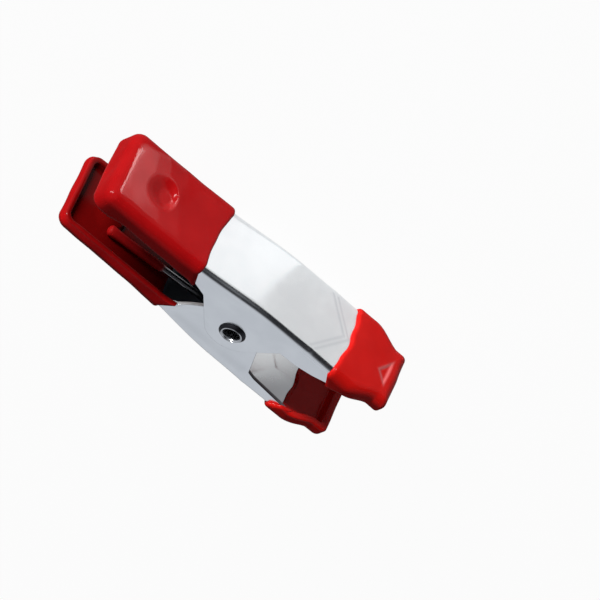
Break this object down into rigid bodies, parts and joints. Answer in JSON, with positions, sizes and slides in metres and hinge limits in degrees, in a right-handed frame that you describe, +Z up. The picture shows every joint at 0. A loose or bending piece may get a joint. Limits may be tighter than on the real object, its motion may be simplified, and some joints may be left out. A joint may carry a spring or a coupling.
{
  "type": "spring clamp",
  "caption": "Pressed-steel spring clamp with channel levers on a hollow rivet, a torsion spring inside and dipped vinyl on handles and jaws, for holding work together.",
  "frame": {"origin": "middle of the footprint at the lowest point, with the clamp lying on its side", "axes": "+X from the handles to the jaws, +Y from the lower lever to the upper lever, +Z up along the pivot axis"},
  "size_m": [0.1022, 0.035, 0.025],
  "materials": {
    "plated_steel": "bright zinc or nickel plate on pressed sheet",
    "red_vinyl": "glossy dipped vinyl",
    "rivet_steel": "plated, rolled over at both ends",
    "spring_steel": "oiled spring wire"
  },
  "bodies": {
    "lower_half": {"lower_lever": "plated_steel", "lower_grip": "red_vinyl", "lower_jaw_tip": "red_vinyl", "pivot_rivet": "rivet_steel", "torsion_spring": "spring_steel"},
    "upper_half": {"upper_lever": "plated_steel", "upper_grip": "red_vinyl", "upper_jaw_tip": "red_vinyl"}
  },
  "joints": [
    {"name": "pivot_hinge", "type": "hinge", "parent": "lower_half", "child": "upper_half", "pos_m": [0.0062, 0, 0.0125], "axis": [0, 0, 1], "range_deg": [-26.6, 7.2], "stiffness_Nm_per_rad": 1.1, "springref_deg": -83.08, "deforming": ["torsion_spring"]}
  ]
}
